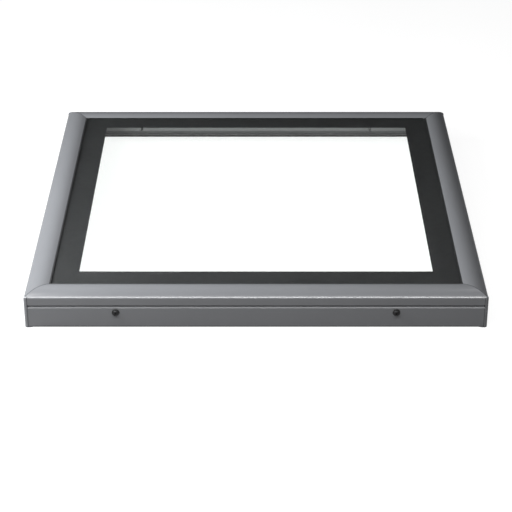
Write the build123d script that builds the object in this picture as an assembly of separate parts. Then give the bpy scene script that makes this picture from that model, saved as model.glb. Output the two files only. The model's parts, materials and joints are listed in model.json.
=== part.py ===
from build123d import *

import os
from math import asin, degrees, sqrt

# Flat glass rooflight cover for a flat roof.
#
# A square pane of toughened glass with a black enamel border lies in a frame of four mitred
# aluminium extrusions. Each extrusion has a convex top flange over a closed chamber, a glazing
# ledge that carries the pane on bonding tape, a channel for the kerb seal, and a skirt with a
# shadow groove, a box chamber behind it and a drip bead. Four cast corner pieces key the extrusions
# together and close the corners with a rounded nose that stands slightly proud and ends in a foot
# under the skirts. Two screws with sealing washers go through each skirt, to fasten the cover to
# the kerb that it drops over.
#
# Frame: millimetres, +Z up, origin on the floor at the middle of the cover, front at -Y.
# In every cross-section u runs inwards from a side's outer face and z up from the floor.

# Overall size
WIDTH = 950.0  # across the outer faces, along X
DEPTH = 950.0  # across the outer faces, along Y

# Feet and skirt
FOOT = 1.1  # corner pieces reach this far below the skirts
SKIRT = 67.1  # skirt height, from its bottom edge to the shoulder
WALL = 2.2
BEAD = 4.0  # thickness of the drip bead on the skirt's bottom edge
BEAD_HEIGHT = 4.4
BOTTOM_ROUND = 0.9
SKIRT_BOTTOM = FOOT
SHOULDER = SKIRT_BOTTOM + SKIRT

# Shadow groove in the skirt's outer face
GROOVE_TOP = SHOULDER - 15.3
GROOVE_BOTTOM = SHOULDER - 23.0
GROOVE_DEPTH = 2.6
GROOVE_UPPER_DROP = 5.2  # height of the groove's overhanging face
GROOVE_FLAT = 0.5

# Convex top flange
FLANGE = 47.9  # from the outer face to the lip beside the glass
CREST_U = 29.0
CREST_RISE = 12.0  # crest above the shoulder
SHOULDER_ROUND = 3.4
CROWN_RADIUS = (CREST_U**2 + CREST_RISE**2) / (2 * CREST_RISE)
CROWN_CENTRE = (CREST_U, SHOULDER + CREST_RISE - CROWN_RADIUS)

# Pane, enamel and bedding
GLASS = 4.0
GLASS_RECESS = 0.2  # glass surface below the lip
GLASS_CORNER = 4.0
ENAMEL = 0.3
BORDER = 57.1  # enamel seen inside the lip
TAPE = 3.2
TAPE_WIDTH = 12.0
GASKET_WIDTH = 3.0  # between the lip and the edge of the glass
GASKET_CROWN = 0.15  # gasket crown above the glass surface

# Glazing ledge and the seal channel below it
LEDGE_REACH = 18.0  # beyond the lip
CHANNEL_WIDTH = 10.0
CHANNEL_HEIGHT = 5.4
CHANNEL_WALL = 1.8
CHANNEL_SLOT = 6.0
CHANNEL_START = FLANGE + 2.0

# Box chamber between the skirt and an inner web, below the flange's own chamber
WEB = 1.8
BOX_OUT = 20.0  # the web's inner face, from the skirt's outer face
BOX_LOW = SKIRT_BOTTOM + 24.0

# Corner pieces
NOSE = 6.0  # width of the nose on each face
NOSE_PROUD = 0.8  # beyond the skirts' faces
NOSE_RISE = 3.2  # above the shoulder
NOSE_ROUND = 3.6
NOSE_CAP_ROUND = 2.6
FOOT_FLAT = 10.0  # full-depth length of the foot on each face
FOOT_REACH = 15.6  # where the foot's taper ends
KEY_LEG = 42.0  # reach of a key leg, from the outer corner
KEY_HEIGHT = 14.0
KEY_PLAY = 0.1
JOINT = 0.15  # half of the hairline joint between two pieces

# Kerb seal
SEAL_WIDTH = 14.0
SEAL_DROP = 6.6  # below the channel's lips
SEAL_WALL = 1.5
SEAL_FLAT = 7.0
SEAL_NECK = CHANNEL_SLOT - 0.2
SEAL_FOOT_WIDTH = CHANNEL_WIDTH - 0.4
SEAL_FOOT = 3.0

# Screws and sealing washers
SCREW_HEIGHT = SKIRT_BOTTOM + 34.7
SCREW_OFFSET = 287.8  # from the middle of a side
SCREW_HOLE = 6.5
SCREW_SHANK = 5.5
SCREW_NECK = 6.0  # plain neck under the head
NECK_END = 20.6  # just beyond the inner web
NECK_TAPER = 0.4
SCREW_LENGTH = 45.0
DRILL_POINT = 4.0  # both its width and its length
HEAD_WIDTH = 11.0
HEAD_STAGES = ((0.8, 0), (1.7, 24), (1.1, 60))  # height and taper of each stage of the dome
ROUND_SIDES = 20  # facets round the small heads and washers
SOCKET_WIDTH = 4.0  # across flats
SOCKET_DEPTH = 2.0
WASHER_WIDTH = 15.6
WASHER_STAGES = ((1.5, 0), (0.9, 45))


def crown_z(u, inset=0.0):
    """Height of the flange's convex top at u, or of the curve that lies inset below it."""
    radius = CROWN_RADIUS - inset
    return CROWN_CENTRE[1] + sqrt(radius**2 - (u - CROWN_CENTRE[0]) ** 2)


HEAD_HEIGHT = sum(height for height, _ in HEAD_STAGES)
WASHER_THICK = sum(height for height, _ in WASHER_STAGES)
LIP = crown_z(FLANGE)
GLASS_TOP = LIP - GLASS_RECESS
GLASS_BOTTOM = GLASS_TOP - GLASS
ENAMEL_BOTTOM = GLASS_BOTTOM - ENAMEL
LEDGE_TOP = ENAMEL_BOTTOM - TAPE
LEDGE_BOTTOM = LEDGE_TOP - WALL
CHANNEL_LIPS = LEDGE_BOTTOM - CHANNEL_HEIGHT
CHANNEL_BOTTOM = CHANNEL_LIPS - CHANNEL_WALL
CHAMBER_FLOOR = CHANNEL_BOTTOM + WALL  # upper side of the top chamber's bottom wall
CHANNEL_END = CHANNEL_START + CHANNEL_WIDTH
CHANNEL_MIDDLE = CHANNEL_START + CHANNEL_WIDTH / 2
GLASS_EDGE = FLANGE + GASKET_WIDTH
TAPE_START = GLASS_EDGE + 1.6

SIDES = {
    "front": (0, WIDTH, DEPTH),
    "right": (90, DEPTH, WIDTH),
    "back": (180, WIDTH, DEPTH),
    "left": (270, DEPTH, WIDTH),
}
CORNERS = {
    "front_left": (0, WIDTH, DEPTH),
    "front_right": (90, DEPTH, WIDTH),
    "back_right": (180, WIDTH, DEPTH),
    "back_left": (270, DEPTH, WIDTH),
}


def outline(*points):
    """A closed face through (u, z) points."""
    return make_face(Polyline(*points, close=True))


def crown_arc(start_u, end_u, inset=0.0):
    """The arc of the flange's top from start_u to end_u, inset below the outer surface."""
    middle = (start_u + end_u) / 2
    ends = [(u, crown_z(u, inset)) for u in (start_u, middle, end_u)]
    return ThreePointArc(*ends)


def flange_blank():
    """The solid outline of the flange and skirt together, with the shoulder rounded."""
    top = crown_arc(0, FLANGE)
    rest = Polyline(
        top @ 1,
        (FLANGE, SKIRT_BOTTOM),
        (0, SKIRT_BOTTOM),
        top @ 0,
    )
    blank = make_face([top, rest])
    shoulder = blank.vertices().sort_by_distance(Vector(0, SHOULDER, 0))[0]
    return fillet(shoulder, SHOULDER_ROUND)


def groove_profile(inset=0.0):
    """The shadow groove as a face. With an inset, the bulge that backs it inside the wall."""
    low, high = GROOVE_BOTTOM - inset / 2, GROOVE_TOP + inset / 2
    deep = GROOVE_DEPTH + inset
    floor_top = GROOVE_TOP - GROOVE_UPPER_DROP + inset / 2
    floor_bottom = floor_top - GROOVE_FLAT - inset
    return outline((-1, low), (0, low), (deep, floor_bottom), (deep, floor_top), (0, high), (-1, high))


def frame_section():
    """Cross-section of one extrusion."""
    chamber = make_face(
        [
            crown_arc(WALL, FLANGE - WALL, WALL),
            Polyline(
                (FLANGE - WALL, crown_z(FLANGE - WALL, WALL)),
                (FLANGE - WALL, CHAMBER_FLOOR),
                (WALL, CHAMBER_FLOOR),
                (WALL, crown_z(WALL, WALL)),
            ),
        ]
    )
    box_chamber = outline(
        (WALL, BOX_LOW + WEB),
        (BOX_OUT - WEB, BOX_LOW + WEB),
        (BOX_OUT - WEB, CHANNEL_BOTTOM),
        (WALL, CHANNEL_BOTTOM),
    )
    below = outline(
        (WALL, SKIRT_BOTTOM - 1),
        (FLANGE + 1, SKIRT_BOTTOM - 1),
        (FLANGE + 1, CHANNEL_BOTTOM),
        (BOX_OUT, CHANNEL_BOTTOM),
        (BOX_OUT, BOX_LOW),
        (WALL, BOX_LOW),
    )
    bulge = groove_profile(WALL) & outline(
        (0, SKIRT_BOTTOM), (FLANGE, SKIRT_BOTTOM), (FLANGE, CHANNEL_BOTTOM), (0, CHANNEL_BOTTOM)
    )
    bead_top = SKIRT_BOTTOM + BEAD_HEIGHT
    bead = outline(
        (0, SKIRT_BOTTOM),
        (BEAD, SKIRT_BOTTOM),
        (BEAD, bead_top - (BEAD - WALL)),
        (WALL, bead_top),
        (0, bead_top),
    )
    ledge = outline(
        (FLANGE - WALL, LEDGE_BOTTOM),
        (FLANGE + LEDGE_REACH, LEDGE_BOTTOM),
        (FLANGE + LEDGE_REACH, LEDGE_TOP),
        (FLANGE - WALL, LEDGE_TOP),
    )
    section = flange_blank() - chamber - box_chamber - below
    section = section + bulge + bead + ledge + seal_channel()
    section = section - groove_profile()
    drip = section.vertices().sort_by_distance(Vector(0, SKIRT_BOTTOM, 0))[0]
    return fillet(drip, BOTTOM_ROUND)


def seal_channel():
    """The channel below the ledge that holds the kerb seal, open downwards between two lips."""
    wall_end = CHANNEL_END + CHANNEL_WALL
    block = outline(
        (FLANGE - WALL, CHANNEL_BOTTOM),
        (wall_end, CHANNEL_BOTTOM),
        (wall_end, LEDGE_BOTTOM),
        (FLANGE - WALL, LEDGE_BOTTOM),
    )
    hollow = outline(
        (CHANNEL_START, CHANNEL_LIPS),
        (CHANNEL_END, CHANNEL_LIPS),
        (CHANNEL_END, LEDGE_BOTTOM),
        (CHANNEL_START, LEDGE_BOTTOM),
    )
    slot_start = CHANNEL_MIDDLE - CHANNEL_SLOT / 2
    slot_end = CHANNEL_MIDDLE + CHANNEL_SLOT / 2
    slot = outline(
        (slot_start, CHANNEL_BOTTOM - 1),
        (slot_end, CHANNEL_BOTTOM - 1),
        (slot_end, CHANNEL_LIPS + 1),
        (slot_start, CHANNEL_LIPS + 1),
    )
    return block - hollow - slot


def front_bar(section, length, half_joint=0.0):
    """A section drawn in (u, z), extruded as the front side of a frame and mitred at both ends."""
    side_plane = Plane(origin=(-length / 2, 0, 0), x_dir=(0, 1, 0), z_dir=(1, 0, 0))
    bar = extrude(side_plane * section, length)
    half = length / 2 - half_joint
    reach = FLANGE + BORDER
    wedge = Polyline((-half, 0), (half, 0), (half - reach, reach), (reach - half, reach), close=True)
    return bar & extrude(make_face(wedge), 2 * SHOULDER)


def to_side(shape, side):
    """Moves a front bar, whose outer face lies on y = 0, to one side of the cover."""
    turn, _, across = SIDES[side]
    return Rot(0, 0, turn) * Pos(0, -across / 2, 0) * shape


def to_corner(shape, corner):
    """Moves a piece drawn at the front left corner, with its outer corner at the origin."""
    turn, along, across = CORNERS[corner]
    return Rot(0, 0, turn) * Pos(-along / 2, -across / 2, 0) * shape


def screw_axis(x):
    """Plane at a screw hole in the front skirt, with its normal pointing inwards."""
    return Plane(origin=(x, 0, SCREW_HEIGHT), x_dir=(1, 0, 0), z_dir=(0, 1, 0))


def frame_member(length):
    bar = front_bar(frame_section(), length, JOINT)
    clear = NOSE + JOINT
    for end in (-1, 1):
        block = Box(clear, clear, 3 * SHOULDER, align=(Align.CENTER, Align.MIN, Align.CENTER))
        bar -= Pos(end * (length / 2 - clear / 2), 0, 0) * block
    for x in (-SCREW_OFFSET, SCREW_OFFSET):
        hole = Cylinder(SCREW_HOLE / 2, 2 * BOX_OUT + WALL)
        bar -= screw_axis(x) * hole
    return bar


def corner_nose():
    """The rounded post that closes the corner, with its cap rounded like a ball."""
    width = NOSE + NOSE_PROUD
    top = SHOULDER + NOSE_RISE
    post = Box(width, width, top, align=(Align.MIN, Align.MIN, Align.MIN))
    post = Pos(-NOSE_PROUD, -NOSE_PROUD, 0) * post
    arris = post.edges().filter_by(Axis.Z).sort_by_distance(Vector(-width, -width, 0))[0]
    post = fillet(arris, NOSE_ROUND)
    inner = [Vector(NOSE, 0, top), Vector(0, NOSE, top)]
    cap = [
        e
        for e in post.edges().group_by(Axis.Z)[-1]
        if all((e.center() - side).length > NOSE / 2 for side in inner)
    ]
    return fillet(cap, NOSE_CAP_ROUND)


def corner_foot():
    """One arm of the foot, below the front skirt, tapering to nothing."""
    profile = outline(
        (-NOSE_PROUD + NOSE_ROUND, 0), (FOOT_FLAT, 0), (FOOT_REACH, FOOT), (-NOSE_PROUD + NOSE_ROUND, FOOT)
    )
    return Pos(0, BEAD, 0) * extrude(Plane.XZ * profile, BEAD)


def corner_piece():
    """Nose, foot and the two legs that slide into the box chambers."""
    start, end = WALL + KEY_PLAY, BOX_OUT - WEB - KEY_PLAY
    leg = Box(KEY_LEG - start, end - start, KEY_HEIGHT, align=(Align.MIN, Align.MIN, Align.MIN))
    arm = Pos(start, start, BOX_LOW + WEB) * leg + corner_foot()
    other_arm = mirror(arm, about=Plane(origin=(0, 0, 0), z_dir=(1, -1, 0)))
    return corner_nose() + arm + other_arm


def glass_pane():
    outline_size = (WIDTH - 2 * GLASS_EDGE, DEPTH - 2 * GLASS_EDGE)
    pane = extrude(RectangleRounded(*outline_size, GLASS_CORNER), GLASS)
    return Pos(0, 0, GLASS_BOTTOM) * pane


def enamel_border():
    """The printed border on the underside of the pane."""
    inner = FLANGE + BORDER
    face = RectangleRounded(WIDTH - 2 * GLASS_EDGE, DEPTH - 2 * GLASS_EDGE, GLASS_CORNER)
    face -= Rectangle(WIDTH - 2 * inner, DEPTH - 2 * inner)
    return Pos(0, 0, ENAMEL_BOTTOM) * extrude(face, ENAMEL)


def gasket_section():
    """Edge gasket between the lip and the glass, with a crowned top."""
    crown = ThreePointArc(
        (FLANGE, GLASS_TOP),
        (FLANGE + GASKET_WIDTH / 2, GLASS_TOP + GASKET_CROWN),
        (GLASS_EDGE, GLASS_TOP),
    )
    rest = Polyline(crown @ 1, (GLASS_EDGE, LEDGE_TOP), (FLANGE, LEDGE_TOP), crown @ 0)
    return make_face([crown, rest])


def tape_section():
    end = TAPE_START + TAPE_WIDTH
    return outline(
        (TAPE_START, LEDGE_TOP), (end, LEDGE_TOP), (end, ENAMEL_BOTTOM), (TAPE_START, ENAMEL_BOTTOM)
    )


def seal_section():
    """Kerb seal: a foot in the channel, a neck through its slot and a hollow bulb below."""
    middle = CHANNEL_MIDDLE
    foot = Pos(middle, CHANNEL_LIPS + SEAL_FOOT / 2) * Rectangle(SEAL_FOOT_WIDTH, SEAL_FOOT)
    neck_height = CHANNEL_LIPS - CHANNEL_BOTTOM + 1
    neck = Pos(middle, CHANNEL_BOTTOM + neck_height / 2 - 0.5) * Rectangle(SEAL_NECK, neck_height)
    bulb_top, bulb_bottom = CHANNEL_BOTTOM, CHANNEL_BOTTOM - SEAL_DROP
    half, flat = SEAL_WIDTH / 2, SEAL_FLAT / 2
    bulb = outline(
        (middle - half, bulb_top),
        (middle - half, bulb_top - SEAL_DROP / 3),
        (middle - flat, bulb_bottom),
        (middle + flat, bulb_bottom),
        (middle + half, bulb_top - SEAL_DROP / 3),
        (middle + half, bulb_top),
    )
    corners = [v for v in bulb.vertices() if v.Y < bulb_top - 0.1]
    bulb = fillet(corners, SEAL_DROP / 4)
    hollow = offset(bulb, -SEAL_WALL)
    return foot + neck + bulb - hollow


def stepped_disc(width, stages):
    """A round boss that rises from z = 0 in stages, with few enough sides for a small fastener."""
    face = RegularPolygon(width / 2, ROUND_SIDES)
    solid = Part()
    for height, taper in stages:
        stage = extrude(face, height, taper=taper)
        solid += stage
        face = stage.faces().sort_by(Axis.Z)[-1]
    return solid


def screw():
    """A button-head screw, its axis along +Z into the cover and z = 0 on the skirt's face."""
    head = stepped_disc(HEAD_WIDTH, HEAD_STAGES)
    socket = extrude(RegularPolygon(SOCKET_WIDTH / 2, 6, major_radius=False), SOCKET_DEPTH)
    head -= Pos(0, 0, HEAD_HEIGHT - SOCKET_DEPTH) * socket
    neck, shank, point = SCREW_NECK / 2, SCREW_SHANK / 2, DRILL_POINT / 2
    shank_end = SCREW_LENGTH - WASHER_THICK - DRILL_POINT
    half = outline(
        (0, -WASHER_THICK),
        (neck, -WASHER_THICK),
        (neck, NECK_END),
        (shank, NECK_END + NECK_TAPER),
        (shank, shank_end),
        (point, shank_end),
        (point, shank_end + DRILL_POINT),
        (0, shank_end + DRILL_POINT),
    )
    return Pos(0, 0, -WASHER_THICK) * Rot(180, 0, 0) * head + revolve(Plane.XZ * half, Axis.Z)


def washer():
    """Sealing washer, z = 0 on the skirt's face and its bevelled edge outwards."""
    ring = Rot(180, 0, 0) * stepped_disc(WASHER_WIDTH, WASHER_STAGES)
    hole = RegularPolygon(SCREW_NECK / 2 + 2 * KEY_PLAY, ROUND_SIDES)
    return ring - extrude(hole, 2 * WASHER_THICK, both=True)


def main():
    parts = {}
    for side, (_, length, _) in SIDES.items():
        parts[f"frame_{side}"] = to_side(frame_member(length), side)
        parts[f"glazing_gasket_{side}"] = to_side(front_bar(gasket_section(), length), side)
        parts[f"bonding_tape_{side}"] = to_side(front_bar(tape_section(), length), side)
        parts[f"kerb_seal_{side}"] = to_side(front_bar(seal_section(), length), side)
        for place, x in (("near", -SCREW_OFFSET), ("far", SCREW_OFFSET)):
            parts[f"screw_{side}_{place}"] = to_side(screw_axis(x) * screw(), side)
            parts[f"washer_{side}_{place}"] = to_side(screw_axis(x) * washer(), side)
    for corner in CORNERS:
        parts[f"corner_{corner}"] = to_corner(corner_piece(), corner)
    parts["glass_pane"] = glass_pane()
    parts["enamel_border"] = enamel_border()

    os.makedirs("parts", exist_ok=True)
    for name, shape in parts.items():
        shape.label = name
        export_step(shape, f"parts/{name}.step")


main()
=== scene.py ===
import json
import math

import bmesh
import bpy
from mathutils import Matrix, Vector


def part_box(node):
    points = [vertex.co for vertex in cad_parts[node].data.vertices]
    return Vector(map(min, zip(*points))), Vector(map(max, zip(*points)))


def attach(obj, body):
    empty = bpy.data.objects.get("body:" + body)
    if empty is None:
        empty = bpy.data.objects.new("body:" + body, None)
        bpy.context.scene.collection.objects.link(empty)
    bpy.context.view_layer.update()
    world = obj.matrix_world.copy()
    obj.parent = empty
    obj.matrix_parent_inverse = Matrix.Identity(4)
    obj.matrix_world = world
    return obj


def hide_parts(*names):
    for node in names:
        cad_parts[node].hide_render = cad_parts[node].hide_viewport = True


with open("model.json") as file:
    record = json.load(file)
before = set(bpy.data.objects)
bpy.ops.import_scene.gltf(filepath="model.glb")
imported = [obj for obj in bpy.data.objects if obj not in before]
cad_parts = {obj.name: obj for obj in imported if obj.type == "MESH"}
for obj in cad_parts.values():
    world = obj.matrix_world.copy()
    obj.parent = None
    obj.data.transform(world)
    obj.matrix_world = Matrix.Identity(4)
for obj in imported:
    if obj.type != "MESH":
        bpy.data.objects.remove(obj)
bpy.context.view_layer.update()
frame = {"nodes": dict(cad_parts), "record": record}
nodes = frame["nodes"]

# Sizes of the cover, in metres
WIDTH = 0.950
SHOULDER = 0.0682
FLANGE = 0.0479
BORDER = 0.0571  # width of the enamel that shows
FRONT_FACE = -WIDTH / 2

# Camera, from the photograph's perspective
IMAGE = 512
FOCAL_PX = 1675.8
SENSOR = 36.0
PITCH = 28.277
CAMERA_BACK = 3.1262 * WIDTH
CAMERA_UP = 1.7855 * WIDTH


# Node helpers

# Sockets of a colour mix node, which has several of the same name
MIX_FACTOR, MIX_FIRST, MIX_SECOND, MIX_RESULT = 0, 6, 7, 2


def new_material(name):
    mat = bpy.data.materials.new(name)
    mat.use_nodes = True
    mat.node_tree.nodes.clear()
    return mat, mat.node_tree.nodes, mat.node_tree.links


def add(n, kind, **values):
    """A new node with its sockets and its properties set by name."""
    node = n.new(kind)
    for key, value in values.items():
        if key in node.inputs:
            node.inputs[key].default_value = value
        else:
            setattr(node, key, value)
    return node


def calc(n, links, operation, *terms):
    """The result of a math node on linked sockets and plain numbers."""
    node = add(n, "ShaderNodeMath", operation=operation)
    for place, term in zip(node.inputs, terms):
        if isinstance(term, (int, float)):
            place.default_value = term
        else:
            links.new(term, place)
    return node.outputs[0]


def ramp(n, links, source, low, high, start=0.3, end=0.7):
    """A colour that goes from low to high between two values of the source."""
    node = n.new("ShaderNodeValToRGB")
    for stop, place, colour in zip(node.color_ramp.elements, (start, end), (low, high)):
        stop.position = place
        stop.color = colour
    links.new(source, node.inputs["Fac"])
    return node.outputs["Color"]


def grey(value):
    return (value, value, value, 1.0)


def tint(colour, factor):
    return tuple(c * factor for c in colour) + (1.0,)


def noise(n, links, coords, scale, detail=2.0, roughness=0.5):
    node = add(n, "ShaderNodeTexNoise", Scale=scale, Detail=detail, Roughness=roughness)
    links.new(coords, node.inputs["Vector"])
    return node.outputs["Fac"]


def band(n, links, value, start, end):
    """Goes smoothly from 0 to 1 as the value goes from start to end."""
    limits = {"From Min": start, "From Max": end}
    node = add(n, "ShaderNodeMapRange", interpolation_type="SMOOTHSTEP", **limits)
    links.new(value, node.inputs["Value"])
    return node.outputs["Result"]


def blend(n, links, factor, colour, other, kind="MIX"):
    """Goes from the linked colour to another colour as the factor rises."""
    node = add(n, "ShaderNodeMix", data_type="RGBA", blend_type=kind)
    links.new(factor, node.inputs[MIX_FACTOR])
    links.new(colour, node.inputs[MIX_FIRST])
    node.inputs[MIX_SECOND].default_value = other
    return node.outputs[MIX_RESULT]


def side_distance(n, links):
    """Distance in from the outer faces, distance off the nearest mitre plane, and height."""
    split = n.new("ShaderNodeSeparateXYZ")
    links.new(n.new("ShaderNodeTexCoord").outputs["Object"], split.inputs["Vector"])
    x, y = [calc(n, links, "ABSOLUTE", split.outputs[axis]) for axis in "XY"]
    depth = calc(n, links, "SUBTRACT", WIDTH / 2, calc(n, links, "MAXIMUM", x, y))
    off = calc(n, links, "ABSOLUTE", calc(n, links, "SUBTRACT", x, y))
    return depth, off, split.outputs["Z"]


# Materials

FRAME_GREY = (0.178, 0.182, 0.191)
CORNER_GREY = (0.170, 0.174, 0.183)
SATIN = {"rough": (0.205, 0.209), "specular": 0.9, "bump_strength": 0.06}
SCREW_BLACK = (0.015, 0.015, 0.016)
BARE_STEEL = (0.46, 0.46, 0.46, 1.0)
SKIRT_BACK_METAL = (0.62, 0.62, 0.625, 1.0)
BEAD_METAL = (0.90, 0.90, 0.905, 1.0)
WEB_METAL = (0.82, 0.82, 0.825, 1.0)
# The three shades below are painted shade: the shadow in the mitre gaps, the shadow beside each
# corner nose, and the shade along the bottom edge of the skirts
MITRE_SHADE = (0.35, 0.35, 0.36, 1.0)
JOINT_SHADE = (0.45, 0.45, 0.46, 1.0)
BOTTOM_SHADE = (0.80, 0.80, 0.80, 1.0)

# Where the coats change over and where the painted shade falls: depth is measured in from the
# outer faces, off is measured from the mitre plane and height from the floor, each in metres from
# where the change starts to its end
WEB_DEPTH = (0.0155, 0.0170)
WEB_HEIGHT = (0.0591, 0.0585)
SKIRT_BACK_DEPTH = (0.0020, 0.0022)
SKIRT_BACK_HEIGHT = (0.0272, 0.0266)
BEAD_HEIGHT = (0.0085, 0.0065)
MITRE_OFF = (0.0014, 0.0005)
JOINT_OFF = (0.0078, 0.0068)
JOINT_DEPTH = (0.0030, 0.0022)
BOTTOM_HEIGHT = (0.0050, 0.0042)
SHANK_DEPTH = (0.0010, 0.0020)


def coated(name, colour, rough=(0.4, 0.5), spread=0.05, patch=6.0, grain=900.0, bump=0.00005,
           specular=0.5, bump_strength=0.5):
    """A coat or rubber: colour that drifts slowly, fine grain in bump, and varied roughness."""
    mat, n, links = new_material(name)
    coords = n.new("ShaderNodeTexCoord").outputs["Object"]
    shader = add(n, "ShaderNodeBsdfPrincipled", **{"Specular IOR Level": specular})
    out = n.new("ShaderNodeOutputMaterial")
    drift = noise(n, links, coords, patch, detail=4.0, roughness=0.6)
    shades = ramp(n, links, drift, tint(colour, 1 - spread), tint(colour, 1 + spread))
    links.new(shades, shader.inputs["Base Color"])
    cloud = noise(n, links, coords, patch * 5, detail=3.0, roughness=0.6)
    links.new(ramp(n, links, cloud, grey(rough[0]), grey(rough[1])), shader.inputs["Roughness"])
    fine = noise(n, links, coords, grain, detail=3.0, roughness=0.55)
    relief = add(n, "ShaderNodeBump", Strength=bump_strength, Distance=bump)
    links.new(fine, relief.inputs["Height"])
    links.new(relief.outputs["Normal"], shader.inputs["Normal"])
    links.new(shader.outputs["BSDF"], out.inputs["Surface"])
    return mat


def coat_parts(mat):
    """A coat's nodes, links and shader, and the socket that its colour comes from."""
    n, links = mat.node_tree.nodes, mat.node_tree.links
    shader = [node for node in n if node.type == "BSDF_PRINCIPLED"][0]
    return n, links, shader, shader.inputs["Base Color"].links[0].from_socket


def frame_coat(name):
    """Satin coat outside, lighter metal on the inner faces, and painted shade: fine dark lines at
    the mitres and beside the corner noses, and a darker band along the bottom edge.
    """
    mat = coated(name, FRAME_GREY, spread=0.02, **SATIN)
    n, links, shader, colour = coat_parts(mat)
    depth, off, height = side_distance(n, links)

    def between(value, places):
        return band(n, links, value, *places)

    def both(a, b):
        return calc(n, links, "MULTIPLY", a, b)

    web = both(between(depth, WEB_DEPTH), between(height, WEB_HEIGHT))
    back = both(between(depth, SKIRT_BACK_DEPTH), between(height, SKIRT_BACK_HEIGHT))
    bead = both(back, between(height, BEAD_HEIGHT))
    joint = both(between(off, JOINT_OFF), between(depth, JOINT_DEPTH))
    for place, metal in ((back, SKIRT_BACK_METAL), (bead, BEAD_METAL), (web, WEB_METAL)):
        colour = blend(n, links, place, colour, metal)
    # Painted shade multiplied in: shadow lines at the mitres and beside the corner noses, and a
    # darker  band along the bottom edge
    for place, shade in ((between(off, MITRE_OFF), MITRE_SHADE), (joint, JOINT_SHADE),
                         (between(height, BOTTOM_HEIGHT), BOTTOM_SHADE)):
        colour = blend(n, links, place, colour, shade, "MULTIPLY")
    links.new(calc(n, links, "MAXIMUM", web, back), shader.inputs["Metallic"])
    links.new(colour, shader.inputs["Base Color"])
    return mat


def screw_coat(name):
    """Black coat on a screw's head and bare steel on its shank."""
    mat = coated(name, SCREW_BLACK, rough=(0.3, 0.42), spread=0.2, patch=200.0, grain=2500.0,
                 bump=0.00003)
    n, links, shader, colour = coat_parts(mat)
    shank = band(n, links, side_distance(n, links)[0], *SHANK_DEPTH)
    links.new(blend(n, links, shank, colour, BARE_STEEL), shader.inputs["Base Color"])
    links.new(shank, shader.inputs["Metallic"])
    return mat


def clear_glass(name):
    """Clear float glass that lets light through to what lies under it."""
    mat, n, links = new_material(name)
    coords = n.new("ShaderNodeTexCoord").outputs["Object"]
    body = {"Transmission Weight": 1.0, "IOR": 1.5, "Base Color": (0.965, 0.985, 0.975, 1.0)}
    shader = add(n, "ShaderNodeBsdfPrincipled", **body)
    smear = noise(n, links, coords, 9.0, detail=4.0, roughness=0.6)
    haze = ramp(n, links, smear, grey(0.0), grey(0.02), start=0.45, end=0.75)
    links.new(haze, shader.inputs["Roughness"])
    open_way = add(n, "ShaderNodeBsdfTransparent", Color=(0.96, 0.98, 0.97, 1.0))
    rays = n.new("ShaderNodeLightPath").outputs
    let_through = calc(n, links, "MAXIMUM", rays["Is Shadow Ray"], rays["Is Diffuse Ray"])
    mix = n.new("ShaderNodeMixShader")
    links.new(let_through, mix.inputs["Fac"])
    links.new(shader.outputs["BSDF"], mix.inputs[1])
    links.new(open_way.outputs["BSDF"], mix.inputs[2])
    out = n.new("ShaderNodeOutputMaterial")
    links.new(mix.outputs["Shader"], out.inputs["Surface"])
    return mat


MATERIALS = {
    "frame_aluminium": frame_coat("grey_powder_coat"),
    "corner_aluminium": coated("corner_powder_coat", CORNER_GREY, spread=0.03, **SATIN),
    "glass": clear_glass("clear_glass"),
    "enamel": coated("black_enamel", (0.0140, 0.0140, 0.0146), rough=(0.45, 0.6), spread=0.08,
                     patch=12.0, grain=400.0, bump=0.00001),
    "gasket_rubber": coated("gasket_rubber", (0.02, 0.02, 0.021), rough=(0.6, 0.75), spread=0.15,
                            patch=30.0, grain=1500.0),
    "bonding_tape": coated("bonding_tape", (0.025, 0.025, 0.026), rough=(0.75, 0.9), spread=0.2,
                           patch=60.0, grain=2500.0, bump=0.0001),
    "seal_rubber": coated("seal_rubber", (0.024, 0.024, 0.025), rough=(0.6, 0.75), spread=0.15,
                          patch=30.0, grain=1500.0),
    "black_screw": screw_coat("black_screw_coat"),
    "washer_rubber": coated("washer_rubber", (0.018, 0.018, 0.018), rough=(0.55, 0.7), spread=0.2,
                            patch=100.0, grain=2500.0),
}

slots = {row["node"]: row["material_slot"] for row in frame["record"]["subparts"]}
for name, node in nodes.items():
    node.data.materials.clear()
    node.data.materials.append(MATERIALS[slots[name]])
    for poly in node.data.polygons:
        poly.material_index = 0


# Pieces that are finer here than their solids

CREASE = 38.0  # edges that turn by more degrees than this stay sharp


def add_piece(name, mesh, slot, replaced):
    """Makes a bmesh into a smooth piece that rides on the cover in a node's place."""
    bmesh.ops.recalc_face_normals(mesh, faces=mesh.faces)
    for face in mesh.faces:
        face.smooth = True
    for edge in mesh.edges:
        edge.smooth = edge.calc_face_angle(0.0) < math.radians(CREASE)
    data = bpy.data.meshes.new(name)
    mesh.to_mesh(data)
    mesh.free()
    obj = bpy.data.objects.new(name, data)
    bpy.context.collection.objects.link(obj)
    data.materials.append(MATERIALS[slot])
    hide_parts(replaced)
    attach(obj, "root")


def rounded_square(half, radius, steps=8):
    """Points round a square with rounded corners, anticlockwise."""
    points = []
    for quarter in range(4):
        middle = math.radians(45 + 90 * quarter)
        cx = math.copysign(half - radius, math.cos(middle))
        cy = math.copysign(half - radius, math.sin(middle))
        for i in range(steps + 1):
            angle = math.radians(90 * quarter + 90 * i / steps)
            points.append((cx + radius * math.cos(angle), cy + radius * math.sin(angle)))
    return points


def ring_of(mesh, points, z):
    return [mesh.verts.new((x, y, z)) for x, y in points]


def bridge_rings(mesh, rings, closed=True):
    """Quads between neighbouring rings of the same number of vertices."""
    pairs = zip(rings, rings[1:] + rings[:1]) if closed else zip(rings, rings[1:])
    for a, b in pairs:
        for i in range(len(a)):
            j = (i + 1) % len(a)
            mesh.faces.new((a[i], a[j], b[j], b[i]))


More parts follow.
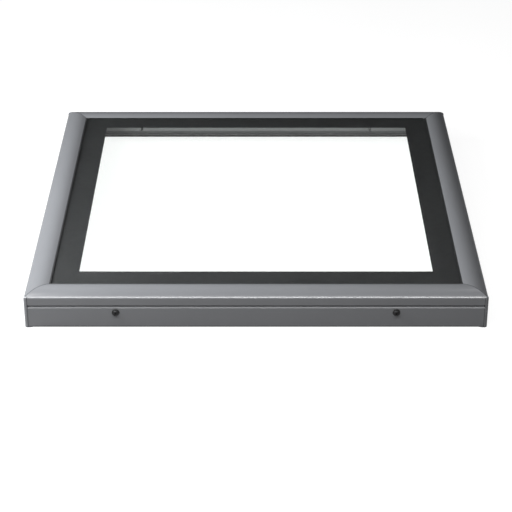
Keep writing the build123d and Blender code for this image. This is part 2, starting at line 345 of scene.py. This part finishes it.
def cap_rings(mesh, rings):
    mesh.faces.new(rings[0][::-1])
    mesh.faces.new(rings[-1])


# The enamel is fused into the underside of the glass

ENAMEL_EDGE = WIDTH / 2 - FLANGE - BORDER
ENAMEL_SINK = 0.00004
ENAMEL_MARGIN = 0.0001
ENAMEL_OUTER_ROUND = 0.004
ENAMEL_INNER_ROUND = 0.0006


def enamel_print():
    low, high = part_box("enamel_border")
    outside = rounded_square(high.x - ENAMEL_MARGIN, ENAMEL_OUTER_ROUND)
    inside = rounded_square(ENAMEL_EDGE, ENAMEL_INNER_ROUND)
    mesh = bmesh.new()
    top = high.z + ENAMEL_SINK
    places = ((outside, low.z), (outside, top), (inside, top), (inside, low.z))
    bridge_rings(mesh, [ring_of(mesh, points, z) for points, z in places])
    add_piece("enamel_print", mesh, "enamel", "enamel_border")


enamel_print()


# Screws and their sealing washers, drawn in mm along an axis that points into the cover

SIDE_TURNS = {"front": 0, "right": 90, "back": 180, "left": 270}
SCREW_OFFSET = 0.2878
SCREW_Z = 0.0358
ROUND = 48  # sides of a turned solid
WELD = 0.00005  # metres within which the points at a screw's two ends join

DOME_TOP, DOME_STEPS = 58, 8  # degrees up the dome at which it starts, and its steps
DOME_RADIUS, DOME_BASE, DOME_RISE = 5.46, -3.22, 3.27
THREAD_PITCH, THREAD_ROOT, THREAD_CREST, THREAD_FLANK = 1.8, 2.2, 2.74, 3.2
THREAD_TENTHS = range(210, 386, 3)  # distances along the thread, in tenths of a mm
FLUTE_TURN, FLUTE_POWER = 0.6, 6


def hexagon(apothem):
    """The radius of a hexagon at a turn."""
    return lambda t: apothem / math.cos((t + math.pi / 6) % (math.pi / 3) - math.pi / 6)


def thread(along):
    """The radius of a screw thread at a turn, at a distance along its axis."""
    def radius(t):
        wave = (along / THREAD_PITCH - t / (2 * math.pi)) % 1.0
        crest = max(0.0, 1.0 - abs(wave - 0.5) * THREAD_FLANK)
        return THREAD_ROOT + (THREAD_CREST - THREAD_ROOT) * crest
    return radius


def fluted(radius, cut):
    """The radius of a drill point with two flutes at a turn."""
    return lambda t: radius - cut * math.cos(t - FLUTE_TURN) ** FLUTE_POWER


def screw_rings():
    """A radius, or a function that gives it for each turn, and the distance into the cover."""
    socket = [(0.01, -3.75), (hexagon(1.1), -3.95), (hexagon(1.97), -4.02), (hexagon(2.0), -4.1),
              (hexagon(2.0), -5.82), (hexagon(2.09), -5.97), (2.72, -5.995)]
    dome = []
    for i in range(DOME_STEPS + 1):
        swell = math.radians(DOME_TOP - DOME_TOP * i / DOME_STEPS)
        dome.append((DOME_RADIUS * math.cos(swell), DOME_BASE - DOME_RISE * math.sin(swell)))
    rim = [(5.5, -3.0), (5.5, -2.62), (5.38, -2.44), (5.2, -2.4), (3.0, -2.4), (3.0, -2.3)]
    shank = [(3.0, 20.6)] + [(thread(d / 10), d / 10) for d in THREAD_TENTHS]
    point = [(2.2, 38.6), (fluted(1.96, 0.5), 38.8), (fluted(1.96, 0.75), 41.2),
             (fluted(1.7, 0.6), 41.6), (0.01, 42.6)]
    return socket + dome + rim + shank + point


WASHER_RINGS = [(3.2, -0.02), (7.55, -0.02), (7.74, -0.14), (7.8, -0.4), (7.8, -1.1),
                (7.72, -1.32), (7.6, -1.42), (7.6, -1.5), (7.55, -1.62), (7.3, -1.86),
                (6.9, -2.2), (6.7, -2.34), (6.5, -2.4), (3.2, -2.4)]


def turned(rings, side, across, closed):
    """A turned solid on a side's screw axis."""
    mesh = bmesh.new()
    turn = Matrix.Rotation(math.radians(SIDE_TURNS[side]), 4, "Z")
    made = []
    for radius, along in rings:
        ring = []
        for i in range(ROUND):
            t = 2 * math.pi * i / ROUND
            r = (radius(t) if callable(radius) else radius) / 1000
            point = Vector((across + r * math.cos(t), along / 1000 - WIDTH / 2,
                            SCREW_Z + r * math.sin(t)))
            ring.append(mesh.verts.new(turn @ point))
        made.append(ring)
    bridge_rings(mesh, made, closed)
    if not closed:
        bmesh.ops.remove_doubles(mesh, verts=made[0] + made[-1], dist=WELD)
    return mesh


for side in SIDE_TURNS:
    for place, across in (("near", -SCREW_OFFSET), ("far", SCREW_OFFSET)):
        add_piece(f"button_screw_{side}_{place}", turned(screw_rings(), side, across, False),
                  "black_screw", f"screw_{side}_{place}")
        add_piece(f"sealing_washer_{side}_{place}", turned(WASHER_RINGS, side, across, True),
                  "washer_rubber", f"washer_{side}_{place}")


# Corner pieces, drawn in mm from the outer corner of the front left one, each with a rounded nose
# over the corner, a foot under each skirt and a leg in each box chamber

CORNER_TURNS = {"front_left": 0, "front_right": 90, "back_right": 180, "back_left": 270}
NOSE_INNER, NOSE_OUTER = 6.0, -0.78
NOSE_TOP = SHOULDER * 1000 + 3.19
NOSE_ARRIS, NOSE_LEAST_ARRIS, ARRIS_STEPS = 6.0, 0.6, 12
NOSE_CAP, CAP_STEPS = 4.6, 8
NOSE_BOTTOM = ((0.3, 0.02), (0.0, 0.32))  # inset and height of its chamfer's two edges
FOOT_SHAPE = [(6.0, 0.02), (10.0, 0.02), (15.5, 1.1), (6.0, 1.1)]
FOOT_WIDTH = 4.0
LEG_SHAPE = [(6.0, 2.3), (42.0, 2.3), (42.0, 18.1), (18.1, 18.1),
             (18.1, 42.0), (2.3, 42.0), (2.3, 6.0), (6.0, 6.0)]
LEG_LOW, LEG_HIGH = 26.9, 40.9


def nose_outline(inset):
    """The nose's outline, with its outer arris rounded."""
    outer = NOSE_OUTER + inset
    radius = min(max(NOSE_ARRIS - inset, NOSE_LEAST_ARRIS), NOSE_INNER - outer)
    centre = outer + radius
    points = [(NOSE_INNER, NOSE_INNER), (outer, NOSE_INNER)]
    for i in range(ARRIS_STEPS + 1):
        angle = math.radians(180 + 90 * i / ARRIS_STEPS)
        points.append((centre + radius * math.cos(angle), centre + radius * math.sin(angle)))
    return points + [(NOSE_INNER, outer)]


def prism(mesh, low, high):
    """A closed solid between two outlines with the same number of points."""
    rings = [[mesh.verts.new(point) for point in points] for points in (low, high)]
    bridge_rings(mesh, rings, False)
    cap_rings(mesh, rings)


def corner_dress(corner):
    mesh = bmesh.new()
    rings = [ring_of(mesh, nose_outline(inset), z) for inset, z in NOSE_BOTTOM]
    for i in range(CAP_STEPS + 1):
        swell = math.radians(90 * i / CAP_STEPS)
        inset = NOSE_CAP * (1 - math.cos(swell))
        z = NOSE_TOP - NOSE_CAP * (1 - math.sin(swell))
        rings.append(ring_of(mesh, nose_outline(inset), z))
    bridge_rings(mesh, rings, False)
    cap_rings(mesh, rings)
    prism(mesh, [(x, 0.0, z) for x, z in FOOT_SHAPE], [(x, FOOT_WIDTH, z) for x, z in FOOT_SHAPE])
    prism(mesh, [(0.0, y, z) for y, z in FOOT_SHAPE], [(FOOT_WIDTH, y, z) for y, z in FOOT_SHAPE])
    prism(mesh, [(x, y, LEG_LOW) for x, y in LEG_SHAPE], [(x, y, LEG_HIGH) for x, y in LEG_SHAPE])
    turn = Matrix.Rotation(math.radians(CORNER_TURNS[corner]), 4, "Z")
    shift = Matrix.Translation((-WIDTH / 2, -WIDTH / 2, 0))
    bmesh.ops.transform(mesh, matrix=turn @ shift @ Matrix.Scale(0.001, 4), verts=mesh.verts)
    add_piece(f"corner_nose_{corner}", mesh, "corner_aluminium", f"corner_{corner}")


for corner in CORNER_TURNS:
    corner_dress(corner)


# Floor, lights and world

FLOOR_REACH = 12.0
FLOOR_GREYS = (0.23, 0.25)
FLOOR_GLOW = {"Is Camera Ray": 0.88, "Is Glossy Ray": 0.1, "Is Transmission Ray": 1.2}
LIGHT_AIM = (0.0, 0.0, 0.05)
KEY_TINT = (0.97, 0.985, 1.0)
WORLD_STRENGTH = 0.01


def white_floor():
    """A matte floor that keeps the cover's shadow and glows white to the camera."""
    data = bpy.data.meshes.new("studio_floor")
    edge = FLOOR_REACH
    corners = [(-edge, -edge, 0), (edge, -edge, 0), (edge, edge, 0), (-edge, edge, 0)]
    data.from_pydata(corners, [], [(0, 1, 2, 3)])
    floor = bpy.data.objects.new("studio_floor", data)
    bpy.context.collection.objects.link(floor)
    mat, n, links = new_material("studio_white")
    coords = n.new("ShaderNodeTexCoord").outputs["Object"]
    matte = add(n, "ShaderNodeBsdfDiffuse")
    soft = noise(n, links, coords, 2.0)
    links.new(ramp(n, links, soft, *map(grey, FLOOR_GREYS)), matte.inputs["Color"])
    path = n.new("ShaderNodeLightPath")
    glow = add(n, "ShaderNodeEmission", Color=grey(1.0))
    strength = 0.0
    for ray, value in FLOOR_GLOW.items():
        level = calc(n, links, "MULTIPLY", path.outputs[ray], value)
        strength = calc(n, links, "MAXIMUM", strength, level)
    links.new(strength, glow.inputs["Strength"])
    both = n.new("ShaderNodeAddShader")
    links.new(matte.outputs["BSDF"], both.inputs[0])
    links.new(glow.outputs["Emission"], both.inputs[1])
    out = n.new("ShaderNodeOutputMaterial")
    links.new(both.outputs["Shader"], out.inputs["Surface"])
    data.materials.append(mat)


def softbox(name, place, size, power, colour=(1.0, 1.0, 1.0)):
    data = bpy.data.lights.new(name, "AREA")
    data.shape = "RECTANGLE"
    data.size, data.size_y = size
    data.energy = power
    data.color = colour
    lamp = bpy.data.objects.new(name, data)
    lamp.location = place
    lamp.rotation_euler = (Vector(LIGHT_AIM) - Vector(place)).to_track_quat("-Z", "Y").to_euler()
    bpy.context.collection.objects.link(lamp)


def studio_world():
    """A faint even light from all round."""
    world = bpy.data.worlds.new("studio")
    bpy.context.scene.world = world
    world.use_nodes = True
    background = world.node_tree.nodes["Background"]
    background.inputs["Color"].default_value = grey(1.0)
    background.inputs["Strength"].default_value = WORLD_STRENGTH


white_floor()
softbox("key_left", (-1.6, -0.1, 0.6), size=(0.7, 0.7), power=16.5, colour=KEY_TINT)
softbox("key_close", (-0.9, -0.5, 0.9), size=(0.5, 0.5), power=17, colour=KEY_TINT)
softbox("key_left_back", (-2.4, 0.4, 0.9), size=(0.8, 0.8), power=37, colour=KEY_TINT)
softbox("fill_right", (1.3, 0.4, 2.2), size=(1.0, 1.0), power=4.8)
softbox("strip_above", (0.0, -1.25, 1.64), size=(2.2, 0.36), power=30)
studio_world()

camera_data = bpy.data.cameras.new("camera")
camera_data.sensor_width = SENSOR
camera_data.lens = FOCAL_PX / IMAGE * SENSOR
camera_data.clip_start, camera_data.clip_end = 0.05, 60.0
camera = bpy.data.objects.new("camera", camera_data)
camera.location = (0.0, FRONT_FACE - CAMERA_BACK, SHOULDER + CAMERA_UP)
camera.rotation_euler = (math.radians(90.0 - PITCH), 0.0, 0.0)
bpy.context.collection.objects.link(camera)
bpy.context.scene.camera = camera
bpy.context.scene.view_settings.view_transform = "Standard"
